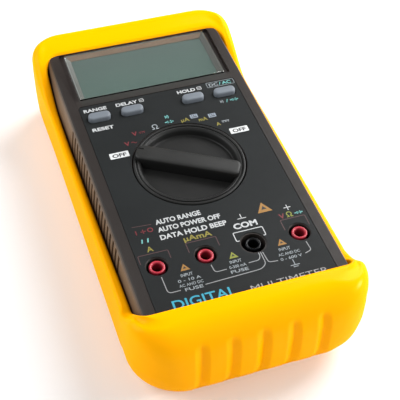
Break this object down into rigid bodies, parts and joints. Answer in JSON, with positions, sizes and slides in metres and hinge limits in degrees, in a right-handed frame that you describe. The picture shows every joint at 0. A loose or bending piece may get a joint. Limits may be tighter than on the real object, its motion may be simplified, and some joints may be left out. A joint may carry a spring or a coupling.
{
  "type": "digital multimeter",
  "caption": "Handheld digital multimeter with a display window, push keys, rotary selector and test lead sockets, held in a soft yellow holster with a tilt stand.",
  "frame": {"origin": "middle of the holster's footprint, on the plane it rests on", "axes": "+Z out of the meter's face, +Y from the sockets towards the display, +X to the right of the display"},
  "size_m": [0.0956, 0.183, 0.041],
  "materials": {
    "holster_yellow": "satin, slightly translucent soft plastic",
    "stand_yellow": "satin",
    "steel": "plain turned steel",
    "case_charcoal": "fine moulded grain",
    "seal_black": "matt",
    "label_print": "satin printed film",
    "window_clear": "clear polished plastic",
    "bezel_grey": "satin",
    "lcd_glass": "grey-green reflective liquid crystal panel",
    "holder_white": "satin",
    "elastomer_pink": "matt",
    "button_grey": "satin",
    "membrane_grey": "matt",
    "knob_charcoal": "satin",
    "acetal_white": "satin",
    "brass": "plain turned brass",
    "board_green": "solder mask over glass laminate",
    "jack_red": "satin",
    "jack_black": "satin",
    "fuse_ceramic": "ceramic tube with metal ends",
    "shunt_alloy": "bare resistance wire",
    "battery_jacket": "plain jacket",
    "snap_black": "satin",
    "lead_red": "satin",
    "foam_grey": "open foam",
    "component_black": "moulded epoxy",
    "component_can": "plain can",
    "capacitor_blue": "sleeve",
    "component_blue": "coated",
    "resistor_blue": "lacquer",
    "shield_tin": "tinned sheet"
  },
  "bodies": {
    "meter": {"holster": "holster_yellow", "stand_pin": "steel", "case_screws": "steel", "board_screws": "steel", "battery_door_screws": "steel", "front_case": "case_charcoal", "rear_case": "case_charcoal", "battery_door": "case_charcoal", "case_gasket": "seal_black", "battery_door_seal": "seal_black", "face_label": "label_print", "display_window": "window_clear", "display_frame": "bezel_grey", "lcd_panel": "lcd_glass", "lcd_holder": "holder_white", "lcd_connector_strips": "elastomer_pink", "keypad_membrane": "membrane_grey", "detent_ring": "acetal_white", "jack_sockets": "brass", "fuse_clips": "brass", "main_board": "board_green", "jack_posts_red": "jack_red", "jack_post_black": "jack_black", "fuse_large": "fuse_ceramic", "fuse_small": "fuse_ceramic", "current_shunt": "shunt_alloy", "battery": "battery_jacket", "battery_snap": "snap_black", "battery_lead_black": "snap_black", "battery_lead_red": "lead_red", "battery_pad": "foam_grey", "buzzer": "component_black", "main_chip": "component_black", "quartz_crystal": "component_can", "capacitors": "capacitor_blue", "surge_absorbers": "component_blue", "trimmers": "component_blue", "input_resistors": "resistor_blue", "shield_can": "shield_tin"},
    "knob": {"selector_knob": "knob_charcoal", "knob_oring": "seal_black", "knob_screw": "steel", "switch_rotor": "acetal_white", "rotor_contacts": "brass", "detent_balls": "steel", "detent_springs": "steel"},
    "range_button": {"button_range": "button_grey"},
    "delay_button": {"button_delay": "button_grey"},
    "hold_button": {"button_hold": "button_grey"},
    "mode_button": {"button_mode": "button_grey"},
    "stand": {"tilt_stand": "stand_yellow"}
  },
  "joints": [
    {"name": "selector_turn", "type": "hinge", "parent": "meter", "child": "knob", "pos_m": [0, -0.0044, 0.0337], "axis": [0, 0, -1], "range_deg": [0, 127]},
    {"name": "range_press", "type": "slide", "parent": "meter", "child": "range_button", "axis": [0, 0, -1], "range_m": [0, 0.0012], "stiffness_N_per_m": 20, "springref_m": -0.001},
    {"name": "delay_press", "type": "slide", "parent": "meter", "child": "delay_button", "axis": [0, 0, -1], "range_m": [0, 0.0012], "stiffness_N_per_m": 20, "springref_m": -0.001},
    {"name": "hold_press", "type": "slide", "parent": "meter", "child": "hold_button", "axis": [0, 0, -1], "range_m": [0, 0.0012], "stiffness_N_per_m": 20, "springref_m": -0.001},
    {"name": "mode_press", "type": "slide", "parent": "meter", "child": "mode_button", "axis": [0, 0, -1], "range_m": [0, 0.0012], "stiffness_N_per_m": 20, "springref_m": -0.001},
    {"name": "stand_swing", "type": "hinge", "parent": "meter", "child": "stand", "pos_m": [0, 0.042, 0.0021], "axis": [1, 0, 0], "range_deg": [0, 65]}
  ]
}
